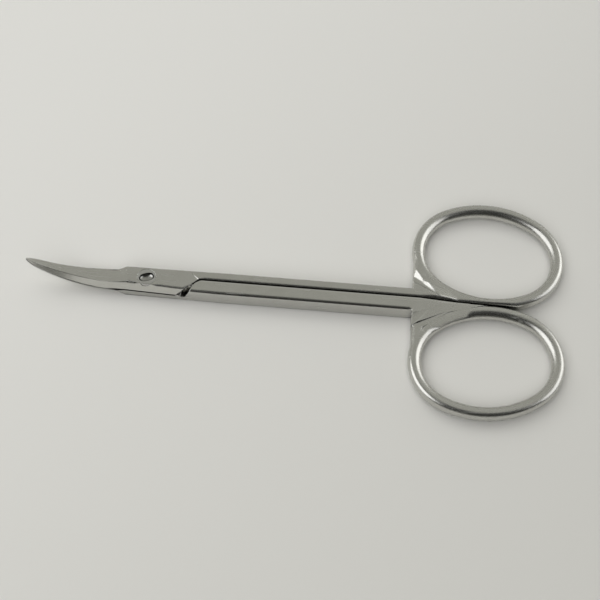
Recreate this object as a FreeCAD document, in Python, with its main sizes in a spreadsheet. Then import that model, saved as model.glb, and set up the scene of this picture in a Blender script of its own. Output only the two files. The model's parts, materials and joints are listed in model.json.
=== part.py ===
# Cuticle scissors: two forged halves and the slotted screw that they turn on.
import FreeCAD, Part

import math
import os

import Sketcher
from FreeCAD import Placement, Rotation, Vector

# Frame: millimetres. The origin is on the pivot axis, in the plane that the underside rests in.
# +X runs from the pivot to the finger rings, +Y to the upper half's ring, +Z up along the pivot axis.
#
# The two halves are one forging turned over: the upper half has its lap and blade above the middle
# plane and its shank on +Y, and the lower half has them below it and on -Y. So each half is drawn
# once, in a half frame where "out" is the distance from the middle plane towards its own outer face
# and "across" is the distance from the pivot axis towards its own ring.

SIZES = {
    # Both halves
    "total_thickness": 3.4,
    "lap_clearance": 0.03,
    # Shanks: straight bars whose outer walls are parallel to X
    "shank_half_width": 2.05,
    "shank_gap": 0.25,
    "split_offset": 0.35,
    "taper_end": 12.0,
    "shank_edge_round": 0.4,
    "gap_edge_round": 0.12,
    # Shoulder that stops the lap of the other half, and the cutter's lean and relief
    "shoulder_place": 7.43,
    "shoulder_inset": 0.1,
    "relief_depth": 0.75,
    # Lap around the pivot
    "lap_heel": 3.2,
    "heel_fade_round": 0.02,
    "lap_reach": 9.2,
    "lap_end_place": 8.15,
    "heel_wall": 1.72,
    "spine_at_heel": 1.98,
    "spine_at_reach": 2.4,
    "ridge_at_heel": 1.12,
    "ridge_at_reach": 1.84,
    # Blades, curved up out of the lap's plane
    "blade_reach": 19.6,
    "blade_half_width": 1.9,
    "edge_thickness": 0.15,
    "curve_start": 6.5,
    "curve_radius": 21.3,
    # Mark of the grinding wheel across the lap, from near the outer wall down to the lap's end
    "mark_place": 7.2,
    "mark_across": 1.43,
    "mark_length": 2.0,
    "mark_radius": 0.3,
    # Finger rings: a band swept along an oval of four arcs, round to the finger and ground outside
    "ring_centre_place": 56.37,
    "ring_half_length": 11.65,
    "ring_half_breadth": 9.14,
    "ring_width": 2.2,
    "ring_height": 2.2,
    "ring_finger_bulge": 1.05,
    "ring_outer_bulge": 0.6,
    "ring_overlap": 0.29,
    # Neck where a shank runs into its ring
    "neck_inset": 0.3,
    "neck_shelf": 0.6,
    "web_stand_off": 0.1,
    "crown_rise": 2.6,
    "valley_reach": 4.51,
    "valley_inset": 0.35,
    "valley_length": 9.0,
    "lower_valley_lift": 0.5,
    "slope_reach": 1.98,
    # Chamfer of the gap's edges, which grows from the shanks to the rings
    "gap_chamfer_start": 3.0,
    "gap_chamfer_middle": 0.15,
    "gap_chamfer_end": 0.4,
    # Pivot screw
    "screw_radius": 0.95,
    "head_radius": 1.5,
    "head_rim": 0.35,
    "head_cone": 0.5,
    "screw_clearance": 0.03,
    "screw_end_chamfer": 0.15,
    "slot_nose": 0.8,
    "slot_cutter_radius": 1.81,
    "slot_depth": 0.55,
    # How far a cutting tool runs past what it cuts
    "overrun": 2.0,
}

# Angles in degrees
LEAN_ANGLE = 24.0
LAP_END_ANGLE = 44.0
MARK_ANGLE = 44.0
MARK_SLOPE_ANGLE = 3.0
UPPER_RING_TILT = 3.9
LOWER_RING_TILT = 8.2
VALLEY_ANGLE = 140.0
VALLEY_HALF_ANGLE = 12.0
SLOPE_ANGLE = 17.0
RELIEF_START_ANGLE = 150.0
RELIEF_SWEEP_ANGLE = 100.0
SLOT_ANGLE = 19.0

# A ring's end radius, as a share of its half breadth
RING_END_SHARE = 0.9
# Width of the band that runs down the neck, as a share of the ring's
NECK_BAND_SHARE = 0.8
# Corners of the flats that the belt leaves round a ring's outer side, from its top to its middle, as
# shares of the outer bulge and of the half height
OUTER_FLAT_SHARES = (
    (0.5, 0.866),
    (0.866, 0.5),
)
# Sections of the step down from the lap to the blade, as shares of its length and of its change
HEEL_SECTION_SHARES = (
    (0.333, 0.259),
    (0.667, 0.741),
)
# Blade sections, as shares of the blade's reach, its half width, the ridge's place across that
# half width, and the lap's thickness.
BLADE_SECTION_SHARES = (
    (0.275, 1.00, 0.71, 0.97),
    (0.439, 0.92, 0.66, 0.83),
    (0.592, 0.79, 0.55, 0.69),
    (0.740, 0.63, 0.46, 0.54),
    (0.883, 0.46, 0.44, 0.39),
    (0.969, 0.25, 0.46, 0.25),
    (1.000, 0.08, 0.50, 0.14),
)
# Places round the near quarter of a ring, in degrees, where the neck's web ends on the band's crest
WEB_ANGLES = (215.0, 250.0)

UPPER = 1
LOWER = -1
DOCUMENT_NAME = "cuticle_scissors"
# Two places nearer than this are the same place, and a place nearer a wall than this is on that wall
TOUCH = 0.001
NEAR = 0.1
PARTS_FOLDER = "parts"


class Dim:
    """A length with its value and the spreadsheet expression that gives it."""

    def __init__(self, value, text):
        self.value = value
        self.text = text

    def __add__(self, other):
        other = as_dim(other)
        return Dim(self.value + other.value, "(%s + %s)" % (self.text, other.text))

    def __sub__(self, other):
        other = as_dim(other)
        return Dim(self.value - other.value, "(%s - %s)" % (self.text, other.text))

    def __mul__(self, factor):
        factor = as_dim(factor)
        return Dim(self.value * factor.value, "(%s * %s)" % (self.text, factor.text))

    def __truediv__(self, divisor):
        divisor = as_dim(divisor)
        return Dim(self.value / divisor.value, "(%s / %s)" % (self.text, divisor.text))

    def __neg__(self):
        return Dim(-self.value, "(0 - %s)" % self.text)

    def square_root(self):
        return Dim(math.sqrt(self.value), "sqrt(%s)" % self.text)


def as_dim(number):
    """Give a plain number the form of a length, so that the two can be combined."""
    if isinstance(number, Dim):
        return number
    return Dim(float(number), "(%.9f)" % number)


ZERO = as_dim(0)


class Sizes:
    """The driving dimensions, each as a length that its spreadsheet cell gives."""

    def __init__(self, doc):
        sheet = doc.addObject("Spreadsheet::Sheet", "Sizes")
        for row, (name, value) in enumerate(SIZES.items(), start=1):
            sheet.set("A%d" % row, name)
            sheet.set("B%d" % row, repr(value))
            sheet.setAlias("B%d" % row, name)
            setattr(self, name, Dim(value, "Sizes." + name))
        doc.recompute()
        self.lap_thickness = self.total_thickness / 2
        self.middle = self.total_thickness / 2
        self.ring_end_radius = self.ring_half_breadth * RING_END_SHARE
        self.ring_centre_across = self.ring_half_breadth + self.ring_width / 2 - self.ring_overlap
        ring_start = self.ring_centre_place - self.ring_half_length - self.ring_width / 2
        self.neck_place = ring_start + self.neck_inset
        self.valley_place = self.neck_place + self.valley_reach

    def interface_height(self, distance):
        """Height of the surface that the blades slide on, at a distance from the pivot axis."""
        if distance.value <= self.curve_start.value:
            return self.middle
        run = distance - self.curve_start
        radius = self.curve_radius
        drop = (radius * radius - run * run).square_root()
        return self.middle + radius - drop


def bind(thing, name, dim):
    """Bind one property of an object to the spreadsheet."""
    thing.setExpression(name, dim.text)


def place(thing, x, y, z, rotation=None):
    """Turn an object, and bind the place of its origin to the spreadsheet."""
    thing.Placement = Placement(Vector(x.value, y.value, z.value), rotation or Rotation())
    bind(thing, "Placement.Base.x", x)
    bind(thing, "Placement.Base.y", y)
    bind(thing, "Placement.Base.z", z)


def new_body(doc, name):
    return doc.addObject("PartDesign::Body", name)


def new_sketch(body, name, role, offset=ZERO):
    """Add a sketch on one of the body's origin planes, moved along the plane's normal."""
    sketch = body.newObject("Sketcher::SketchObject", name)
    plane = [feature for feature in body.Origin.OriginFeatures if feature.Role == role][0]
    sketch.AttachmentSupport = [(plane, "")]
    sketch.MapMode = "FlatFace"
    sketch.AttachmentOffset = Placement(Vector(0, 0, offset.value), Rotation())
    if offset.value:
        bind(sketch, "AttachmentOffset.Base.z", offset)
    return sketch


def constrain(sketch, kind, *arguments):
    return sketch.addConstraint(Sketcher.Constraint(kind, *arguments))


def pin_point(sketch, geometry, position, point):
    """Bind a point of the sketch to its two coordinates."""
    for kind, axis, dim in (("DistanceX", -2, point[0]), ("DistanceY", -1, point[1])):
        if dim.value == 0:
            constrain(sketch, "PointOnObject", geometry, position, axis)
            continue
        index = constrain(sketch, kind, -1, 1, geometry, position, dim.value)
        sketch.setExpression("Constraints[%d]" % index, dim.text)


def draw_polygon(sketch, points, centres=None):
    """Draw a closed outline, each corner bound to its two coordinates; a side with a centre is an arc."""
    centres = centres or {}
    corners = [Vector(x.value, y.value, 0) for x, y in points]
    count = len(corners)
    ends = []
    for index in range(count):
        first, last = corners[index], corners[(index + 1) % count]
        if index in centres:
            ends.append(add_arc(sketch, first, last, centres[index]))
            continue
        sketch.addGeometry(Part.LineSegment(first, last), False)
        ends.append((1, 2))
    for index in range(count):
        following = (index + 1) % count
        constrain(sketch, "Coincident", index, ends[index][1], following, ends[following][0])
        pin_point(sketch, index, ends[index][0], points[index])
    for index, centre in centres.items():
        number = constrain(sketch, "DistanceX", -1, 1, index, 3, centre[0].value)
        sketch.setExpression("Constraints[%d]" % number, centre[0].text)


def add_arc(sketch, first, last, centre):
    """Add the short arc between two points, and say which of its ends is the first one."""
    middle = Vector(centre[0].value, centre[1].value, 0)
    forward = (first - middle).cross(last - middle).z > 0
    start, stop = (first, last) if forward else (last, first)
    angles = [math.atan2(point.y - middle.y, point.x - middle.x) for point in (start, stop)]
    circle = Part.Circle(middle, Vector(0, 0, 1), (first - middle).Length)
    sketch.addGeometry(Part.ArcOfCircle(circle, *angles), False)
    return (1, 2) if forward else (2, 1)


def oval_radii(s):
    """End radius, side radius and the end centres' distance of a ring's oval."""
    run = s.ring_half_length - s.ring_end_radius
    breadth = s.ring_half_breadth
    end = s.ring_end_radius
    side = (run * run + breadth * breadth - end * end) / ((breadth - end) * 2)
    return end, side, run


def draw_oval(sketch, s):
    """Draw an oval of four tangent arcs, centred on the sketch's origin."""
    end, side, run = oval_radii(s)
    drop = side - s.ring_half_breadth
    split = math.atan2(drop.value, run.value)
    first = sketch.GeometryCount
    up = Vector(0, 0, 1)
    arcs = (
        (Vector(run.value, 0, 0), end.value, -split, split),
        (Vector(0, -drop.value, 0), side.value, split, math.pi - split),
        (Vector(-run.value, 0, 0), end.value, math.pi - split, math.pi + split),
        (Vector(0, drop.value, 0), side.value, math.pi + split, 2 * math.pi - split),
    )
    for centre, radius, start, stop in arcs:
        sketch.addGeometry(Part.ArcOfCircle(Part.Circle(centre, up, radius), start, stop), False)
    for index in range(4):
        constrain(sketch, "Tangent", first + index, 2, first + (index + 1) % 4, 1)
    pin_point(sketch, first, 3, (run, ZERO))
    pin_point(sketch, first + 2, 3, (-run, ZERO))
    for index, radius in ((0, end), (2, end), (1, side), (3, side)):
        number = constrain(sketch, "Radius", first + index, radius.value)
        sketch.setExpression("Constraints[%d]" % number, radius.text)


def draw_band(sketch, s, centre, width):
    """Draw a ring's section: half an ellipse to the finger, and short flats round the outer side."""
    height = s.ring_height / 2
    bulge = s.ring_finger_bulge
    inner = centre - width / 2 + bulge
    outer = centre + width / 2
    base = outer - s.ring_outer_bulge
    tip = Vector(inner.value, height.value, 0)
    flank = Vector(inner.value - bulge.value, 0, 0)
    ellipse = Part.Ellipse(tip, flank, Vector(inner.value, 0, 0))
    sketch.addGeometry(Part.ArcOfEllipse(ellipse, 0, math.pi), False)
    flats = [(base + s.ring_outer_bulge * across, height * up) for across, up in OUTER_FLAT_SHARES]
    corners = (
        (inner, -height),
        (base, -height),
        *[(x, -y) for x, y in flats],
        (outer, ZERO),
        *reversed(flats),
        (base, height),
        (inner, height),
    )
    points = [Vector(x.value, y.value, 0) for x, y in corners]
    for first, last in zip(points, points[1:]):
        sketch.addGeometry(Part.LineSegment(first, last), False)
    sides = len(corners) - 1
    for line in range(2, sides + 1):
        constrain(sketch, "Coincident", line - 1, 2, line, 1)
        pin_point(sketch, line, 1, corners[line - 1])
    constrain(sketch, "Tangent", 0, 2, 1, 1)
    constrain(sketch, "Tangent", 0, 1, sides, 2)
    axis = sketch.GeometryCount
    sketch.exposeInternalGeometry(0)
    for end in (1, 2):
        level = height if sketch.getPoint(axis, end).y > 0 else -height
        pin_point(sketch, axis, end, (inner, level))
    across = axis + 1
    side = inner - bulge if sketch.getPoint(across, 1).x < inner.value else inner + bulge
    number = constrain(sketch, "DistanceX", -1, 1, across, 1, side.value)
    sketch.setExpression("Constraints[%d]" % number, side.text)


def new_pad(body, sketch, name, length):
    pad = body.newObject("PartDesign::Pad", name)
    pad.Profile = sketch
    pad.Length = length.value
    bind(pad, "Length", length)
    sketch.Document.recompute()
    return pad


def round_edges(body, feature, name, radius, wanted):
    """Fillet the edges of a feature for which the test is true."""
    edges = feature.Shape.Edges
    names = ["Edge%d" % (index + 1) for index, edge in enumerate(edges) if wanted(edge)]
    if not names:
        raise ValueError("no edge to round for " + name)
    fillet = body.newObject("PartDesign::Fillet", name)
    fillet.Base = (feature, names)
    fillet.Radius = radius.value
    bind(fillet, "Radius", radius)
    body.Document.recompute()
    return fillet


def middle_of(edge):
    return edge.valueAt((edge.FirstParameter + edge.LastParameter) / 2)


def is_level(edge):
    """Whether both ends and the middle of an edge are at one height."""
    heights = [vertex.Z for vertex in edge.Vertexes] + [middle_of(edge).z]
    return max(heights) - min(heights) < TOUCH


class Half:
    """One half of the scissors, drawn once for both sides."""

    def __init__(self, doc, sizes, side, name):
        self.doc = doc
        self.s = sizes
        self.side = side
        self.name = name
        gap_wall = sizes.shank_gap / 2
        offset = sizes.split_offset
        self.inner_wall = gap_wall + offset if side == UPPER else gap_wall - offset
        self.corner_radius = sizes.shank_half_width - sizes.shoulder_inset - self.inner_wall
        self.corner_place = sizes.shoulder_place + self.corner_radius
        self.corner_across = sizes.shank_half_width - sizes.shoulder_inset
        self.ring_tilt = UPPER_RING_TILT if side == UPPER else LOWER_RING_TILT

    def across(self, dim):
        """Y of a point at a distance from the pivot axis towards this half's own ring."""
        return dim if self.side == UPPER else -dim

    def out(self, dim, base=None):
        """Z of a point at a distance from the middle plane towards this half's outer face."""
        base = base or self.s.middle
        return base + dim if self.side == UPPER else base - dim

    def label(self, word):
        return "%s_%s" % (self.name, word)

    def wall_at(self, distance):
        """Where the outer wall is, a given distance from the pivot, before the shank is full."""
        s = self.s
        share = (distance + s.lap_heel) / (s.taper_end + s.lap_heel)
        return s.heel_wall + (s.shank_half_width - s.heel_wall) * share

    def draw_plan(self, sketch, points):
        draw_polygon(sketch, [(x, self.across(y)) for x, y in points])

    def shank(self):
        """The straight bar of full thickness, from under the shoulder to the neck's crown."""
        s = self.s
        body = new_body(self.doc, self.label("shank"))
        sketch = new_sketch(body, self.label("shank_plan"), "XY_Plane")
        start = s.shoulder_place - s.lap_thickness
        crown = s.shank_half_width + s.crown_rise
        fall = math.radians(VALLEY_ANGLE - 90)
        self.draw_plan(sketch, (
            (start, self.inner_wall),
            (start, self.wall_at(start)),
            (s.taper_end, s.shank_half_width),
            (s.neck_place, s.shank_half_width),
            (s.neck_place, crown),
            (s.valley_place + s.slope_reach * math.cos(fall),
             self.inner_wall + s.valley_inset + s.slope_reach * math.sin(fall)),
            (s.valley_place + s.slope_reach / math.cos(fall), self.inner_wall),
        ))
        pad = new_pad(body, sketch, self.label("shank_pad"), s.total_thickness)
        outer = round_edges(
            body, pad, self.label("shank_round"), s.shank_edge_round,
            lambda edge: is_level(edge) and self.is_outer(edge))
        round_edges(
            body, outer, self.label("gap_round"), s.gap_edge_round,
            lambda edge: is_level(edge) and self.is_inner(edge))
        return body

    def is_outer(self, edge):
        """Whether a level edge runs along the bar's outer wall or the neck's outer wall."""
        point = middle_of(edge)
        s = self.s
        start = s.shoulder_place.value - s.lap_thickness.value
        if point.x < start + NEAR or point.x > s.neck_place.value + TOUCH:
            return False
        return point.y * self.side > self.wall_at(s.shoulder_place).value - NEAR

    def is_inner(self, edge):
        point = middle_of(edge)
        return abs(point.y * self.side - self.inner_wall.value) < TOUCH

    def slope_cutters(self):
        """Blocks whose faces slope the shank's end down to the ring's height, at top and bottom."""
        s = self.s
        blocks = []
        fall = math.radians(VALLEY_ANGLE - 90)
        steep = math.radians(SLOPE_ANGLE)
        size = s.shank_half_width * 8
        for word, height, up in (("top", s.total_thickness, 1), ("bottom", ZERO, -1)):
            block = self.doc.addObject("Part::Box", self.label("slope_" + word))
            for name in ("Length", "Width", "Height"):
                bind(block, name, size)
            level = math.sin(steep)
            normal = Vector(level * math.cos(fall), self.side * level * math.sin(fall), up * math.cos(steep))
            rotation = Rotation(Vector(0, 0, 1), normal)
            corner = rotation.multVec(Vector(1, 1, 0))
            x = s.valley_place - size / 2 * corner.x
            y = self.across(self.inner_wall + s.valley_inset) - size / 2 * corner.y
            z = height - size / 2 * corner.z
            place(block, x, y, z, rotation)
            blocks.append(block)
        return blocks

    def neck(self):
        """The neck between the shank's end and the ring: the band run straight, and the web behind it."""
        s = self.s
        body = new_body(self.doc, self.label("neck"))
        sketch = new_sketch(body, self.label("neck_band"), "XZ_Plane")
        width = s.ring_width * NECK_BAND_SHARE
        place(body, s.neck_place + width / 2, ZERO, s.middle, self.band_turn())
        draw_band(sketch, s, ZERO, width)
        new_pad(body, sketch, self.label("neck_bar"), s.ring_centre_across)
        return body

    def band_turn(self):
        """The turn that lays the band's outer side at -X, running from the pivot's line to its own ring."""
        if self.side == UPPER:
            return Rotation(Vector(0, 0, 1), 180)
        return Rotation(Vector(0, 1, 0), 180)

    def web(self):
        """The flat web that fills the corner between the shank, the neck and the ring."""
        s = self.s
        body = new_body(self.doc, self.label("web"))
        floor = s.middle - s.ring_height / 2
        sketch = new_sketch(body, self.label("web_plan"), "XY_Plane", floor)
        end, _, run = oval_radii(s)
        centre = s.ring_centre_place - run
        across = s.ring_centre_across
        turns = [math.radians(angle) for angle in WEB_ANGLES]
        reach = (end + s.web_stand_off) / math.cos((turns[1] - turns[0]) / 2)
        band = [(centre + reach * math.cos(turn), across + reach * math.sin(turn)) for turn in turns]
        edge = s.neck_place + s.neck_shelf
        self.draw_plan(sketch, [
            (edge, self.inner_wall + s.valley_inset),
            (edge, across),
            *band,
            (s.ring_centre_place, self.inner_wall),
            (s.valley_place - s.valley_inset, self.inner_wall),
        ])
        new_pad(body, sketch, self.label("web_pad"), s.ring_height)
        return body

    def ring(self):
        """The finger ring: its band swept along the oval, tilted in plan."""
        s = self.s
        body = new_body(self.doc, self.label("ring"))
        path = new_sketch(body, self.label("ring_path"), "XY_Plane")
        draw_oval(path, s)
        band = new_sketch(body, self.label("ring_band"), "XZ_Plane")
        draw_band(band, s, s.ring_half_length, s.ring_width)
        pipe = body.newObject("PartDesign::AdditivePipe", self.label("ring_sweep"))
        pipe.Profile = band
        pipe.Spine = (path, ["Edge%d" % number for number in (1, 2, 3, 4)])
        turn = Rotation(Vector(0, 0, 1), -self.side * self.ring_tilt)
        place(body, s.ring_centre_place, self.across(s.ring_centre_across), s.middle, turn)
        self.doc.recompute()
        return body

    def section(self, body, name, distance, corners, centres=None):
        """Draw one section of the lap or the blade, across the tool at a distance from the pivot."""
        sketch = new_sketch(body, name, "YZ_Plane", distance)
        rounds = {side: (self.across(y), z) for side, (y, z) in (centres or {}).items()}
        draw_polygon(sketch, [(self.across(y), z) for y, z in corners], rounds)
        return sketch

    def lap_section(self, body, name, distance, spine, ridge, wall, edge_round):
        """Draw a section of the lap, whose wall is rounded over as the shank's is."""
        s = self.s
        top = s.lap_thickness
        corners = (
            (-spine, self.out(-s.edge_thickness)),
            (-ridge, self.out(top)),
            (wall - edge_round, self.out(top)),
            (wall, self.out(top - edge_round)),
            (wall, self.out(-s.edge_thickness)),
        )
        centre = (wall - edge_round, self.out(top - edge_round))
        return self.section(body, name, distance, corners, {2: centre})

    def heel_corners(self):
        """Corners of the lap's last section, where the step down to the blade starts."""
        s = self.s
        return (
            (-s.spine_at_heel, self.out(-s.edge_thickness)),
            (-s.ridge_at_heel, self.out(s.lap_thickness)),
            (s.heel_wall, self.out(s.lap_thickness)),
            (s.heel_wall, self.out(-s.edge_thickness)),
        )

    def blade_corners(self, shares):
        s = self.s
        reach, width, ridge, thickness = shares
        base = s.interface_height(s.blade_reach * reach)
        half_width = s.blade_half_width * width
        return (
            (-half_width, self.out(-s.edge_thickness, base)),
            (-(half_width * ridge), self.out(s.lap_thickness * thickness, base)),
            (half_width, self.out(s.edge_thickness * thickness, base)),
            (half_width, self.out(-s.edge_thickness, base)),
        )

    def heel_section(self, body, name, shares):
        """Draw a section of the step, part of the way from the lap's to the blade's."""
        s = self.s
        along, change = shares
        first = BLADE_SECTION_SHARES[0]
        distance = s.lap_heel + (s.blade_reach * first[0] - s.lap_heel) * along
        pairs = zip(self.heel_corners(), self.blade_corners(first))
        corners = [
            (lap_y + (blade_y - lap_y) * change, lap_z + (blade_z - lap_z) * change)
            for (lap_y, lap_z), (blade_y, blade_z) in pairs
        ]
        return self.section(body, name, -distance, corners)

    def loft(self, body, name, sketches, ruled):
        loft = body.newObject("PartDesign::AdditiveLoft", name)
        loft.Profile = sketches[0]
        loft.Sections = sketches[1:]
        loft.Ruled = ruled
        self.doc.recompute()
        return loft

    def blade(self):
        """The lap and the blade, lofted through sections and trimmed to the sliding surface."""
        s = self.s
        body = new_body(self.doc, self.label("blade"))
        lap_end = self.lap_section(
            body, self.label("lap_reach"), s.lap_reach, s.spine_at_reach, s.ridge_at_reach,
            self.wall_at(s.lap_reach), s.shank_edge_round)
        lap_heel = self.lap_section(
            body, self.label("lap_heel"), -s.lap_heel, s.spine_at_heel, s.ridge_at_heel,
            s.heel_wall, s.heel_fade_round)
        self.loft(body, self.label("lap_loft"), [lap_end, lap_heel], True)
        stations = []
        for number, shares in enumerate(BLADE_SECTION_SHARES):
            name = self.label("station_%d" % number)
            distance = s.blade_reach * shares[0]
            stations.append(self.section(body, name, -distance, self.blade_corners(shares)))
        heel = self.section(body, self.label("heel_start"), -s.lap_heel, self.heel_corners())
        steps = [
            self.heel_section(body, self.label("heel_step_%d" % number), shares)
            for number, shares in enumerate(HEEL_SECTION_SHARES)
        ]
        self.loft(body, self.label("heel_loft"), [heel, *steps, stations[0]], False)
        self.loft(body, self.label("blade_loft"), stations, False)
        self.trim_to_interface(body)
        return body

    def trim_to_interface(self, body):
        """Groove away what lies past the sliding surface, which is turned about the pivot axis."""
        s = self.s
        sketch = new_sketch(body, self.label("interface_profile"), "XZ_Plane")
        face = self.out(s.lap_clearance / 2)
        rim = s.blade_reach + s.overrun
        rim_height = s.interface_height(rim) - s.middle + face
        far = -(s.blade_reach) if self.side == UPPER else s.blade_reach * 2
        centre = face + s.curve_radius
        corners = ((ZERO, far), (ZERO, face), (s.curve_start, face), (rim, rim_height), (rim, far))
        points = [Vector(x.value, y.value, 0) for x, y in corners]
        turn = math.asin((rim.value - s.curve_start.value) / s.curve_radius.value)
        middle = Vector(s.curve_start.value, centre.value, 0)
        circle = Part.Circle(middle, Vector(0, 0, 1), s.curve_radius.value)
        start_angle = -math.pi / 2
        sketch.addGeometry(Part.LineSegment(points[0], points[1]), False)
        sketch.addGeometry(Part.LineSegment(points[1], points[2]), False)
        sketch.addGeometry(Part.ArcOfCircle(circle, start_angle, start_angle + turn), False)
        sketch.addGeometry(Part.LineSegment(points[3], points[4]), False)
        sketch.addGeometry(Part.LineSegment(points[4], points[0]), False)
        for index in range(5):
            constrain(sketch, "Coincident", index, 2, (index + 1) % 5, 1)
        pin_point(sketch, 0, 1, corners[0])
        pin_point(sketch, 1, 1, corners[1])
        pin_point(sketch, 2, 1, corners[2])
        pin_point(sketch, 2, 3, (s.curve_start, centre))
        index = constrain(sketch, "DistanceX", -1, 1, 3, 1, rim.value)
        sketch.setExpression("Constraints[%d]" % index, rim.text)
        pin_point(sketch, 4, 1, corners[4])
        groove = body.newObject("PartDesign::Groove", self.label("interface"))
        groove.Profile = sketch
        groove.ReferenceAxis = (sketch, ["V_Axis"])
        groove.Angle = 360
        before = body.Shape.Volume
        self.doc.recompute()
        if not body.Shape.Volume < before:
            raise ValueError("the interface groove cut nothing from " + self.name)

    def lap_end_cutter(self):
        """A block whose leaning face is the lap's slanted end, beside the other half's shoulder."""
        s = self.s
        block = self.doc.addObject("Part::Box", self.label("lap_end_block"))
        length = s.blade_reach
        for name in ("Length", "Width", "Height"):
            bind(block, name, length)
        turn = Rotation(Vector(0, 0, 1), self.side * LAP_END_ANGLE)
        lean = Rotation(Vector(1, 0, 0), LEAN_ANGLE)
        rotation = turn * lean
        half = length.value / 2
        corner = rotation.multVec(Vector(half, length.value if self.side == UPPER else 0, half))
        x = s.lap_end_place - as_dim(corner.x)
        y = -as_dim(corner.y)
        z = self.out(s.lap_thickness) - as_dim(corner.z)
        place(block, x, y, z, rotation)
        return block

    def shoulder_cutter(self):
        """A block past the middle plane, left whole where the leaning shoulder cone stands."""
        s = self.s
        block = self.doc.addObject("Part::Box", self.label("shoulder_block"))
        depth = s.lap_thickness + s.overrun
        width = s.shank_half_width * 4
        length = self.corner_place + s.blade_reach
        for name, dim in (("Length", length), ("Width", width), ("Height", depth)):
            bind(block, name, dim)
        low = self.s.middle - depth if self.side == UPPER else self.s.middle
        place(block, -s.blade_reach, -(width / 2), low)
        lean = math.tan(math.radians(LEAN_ANGLE))
        narrow = self.corner_radius - s.overrun * lean
        wide = self.corner_radius + s.lap_thickness * lean
        cone = self.doc.addObject("Part::Cone", self.label("shoulder_cone"))
        first, second = (narrow, wide) if self.side == UPPER else (wide, narrow)
        for name, dim in (("Radius1", first), ("Radius2", second), ("Height", depth)):
            bind(cone, name, dim)
        place(cone, self.corner_place, self.across(self.corner_across), low)
        cutter = self.doc.addObject("Part::Cut", self.label("shoulder_cutter"))
        cutter.Base = block
        cutter.Tool = cone
        return cutter

    def relief_cutter(self):
        """The round-nosed relief along the foot of the shoulder."""
        s = self.s
        lean = math.tan(math.radians(LEAN_ANGLE))
        torus = self.doc.addObject("Part::Torus", self.label("relief"))
        wide = self.corner_radius + s.lap_thickness * lean + s.relief_depth
        bind(torus, "Radius1", wide)
        bind(torus, "Radius2", s.relief_depth)
        torus.Angle3 = RELIEF_SWEEP_ANGLE
        start = RELIEF_START_ANGLE if self.side == UPPER else -RELIEF_START_ANGLE - RELIEF_SWEEP_ANGLE
        turn = Rotation(Vector(0, 0, 1), start)
        place(torus, self.corner_place, self.across(self.corner_across), s.middle, turn)
        return torus

    def mark_cutter(self):
        """The grinding wheel's mark, a shallow groove that deepens towards the lap's end."""
        s = self.s
        wheel = self.doc.addObject("Part::Cylinder", self.label("mark"))
        bind(wheel, "Radius", s.mark_radius)
        bind(wheel, "Height", s.mark_length)
        fall = math.radians(MARK_SLOPE_ANGLE)
        turn = math.radians(MARK_ANGLE)
        run = math.cos(fall)
        direction = Vector(
            run * math.cos(turn), -self.side * run * math.sin(turn), -self.side * math.sin(fall))
        height = self.out(s.lap_thickness + s.mark_radius)
        place(wheel, s.mark_place, self.across(s.mark_across), height, Rotation(Vector(0, 0, 1), direction))
        return wheel

    def valley_cutters(self):
        """Cones laid in the top and the bottom face, which part the shank from the ring."""
        s = self.s
        cones = []
        lift = ZERO if self.side == UPPER else s.lower_valley_lift
        for word, height in (("top", s.total_thickness + lift), ("bottom", -lift)):
            cone = self.doc.addObject("Part::Cone", self.label("valley_" + word))
            cone.Radius1 = 0
            bind(cone, "Radius2", s.valley_length * math.tan(math.radians(VALLEY_HALF_ANGLE)))
            bind(cone, "Height", s.valley_length)
            angle = math.radians(VALLEY_ANGLE)
            direction = Vector(math.cos(angle), self.side * math.sin(angle), 0)
            rotation = Rotation(Vector(0, 0, 1), direction)
            place(cone, s.valley_place, self.across(self.inner_wall + s.valley_inset), height, rotation)
            cones.append(cone)
        return cones

    def gap_cutter(self):
        """A block that keeps the ring on its own side of the gap, and chamfers the gap's edges."""
        s = self.s
        block = self.doc.addObject("Part::Box", self.label("gap_block"))
        start = s.valley_place - s.gap_chamfer_start
        length = start - self.corner_place
        width = s.shank_half_width * 2
        height = s.total_thickness + s.overrun * 2
        for name, dim in (("Length", length), ("Width", width), ("Height", height)):
            bind(block, name, dim)
        low = self.across(self.inner_wall) - width if self.side == UPPER else self.across(self.inner_wall)
        place(block, self.corner_place, low, -s.overrun)
        body = new_body(self.doc, self.label("gap_tool"))
        level = s.ring_height / 2
        steep = math.tan(math.radians(SLOPE_ANGLE)) * math.cos(math.radians(VALLEY_ANGLE - 90))
        foot = s.valley_place + (s.middle - level) / steep
        ring_end = s.ring_centre_place + s.ring_half_length
        sections = [
            self.gap_section(body, "start", start, s.middle, s.gap_edge_round),
            self.gap_section(body, "slope", foot, level, s.gap_chamfer_middle),
            self.gap_section(body, "end", ring_end, level, s.gap_chamfer_end),
        ]
        self.loft(body, self.label("gap_loft"), sections, True)
        return [block, body]

    def gap_section(self, body, word, distance, level, chamfer):
        """Draw the gap's own section, which widens round the edges that it chamfers."""
        s = self.s
        wall = self.inner_wall
        far = wall - s.shank_half_width * 2
        reach = s.middle + s.overrun
        rise = reach - level + chamfer
        return self.section(body, self.label("gap_" + word), distance, (
            (far, s.middle + reach),
            (far, s.middle - reach),
            (wall + rise, s.middle - reach),
            (wall, s.middle - level + chamfer),
            (wall, s.middle + level - chamfer),
            (wall + rise, s.middle + reach),
        ))

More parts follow.
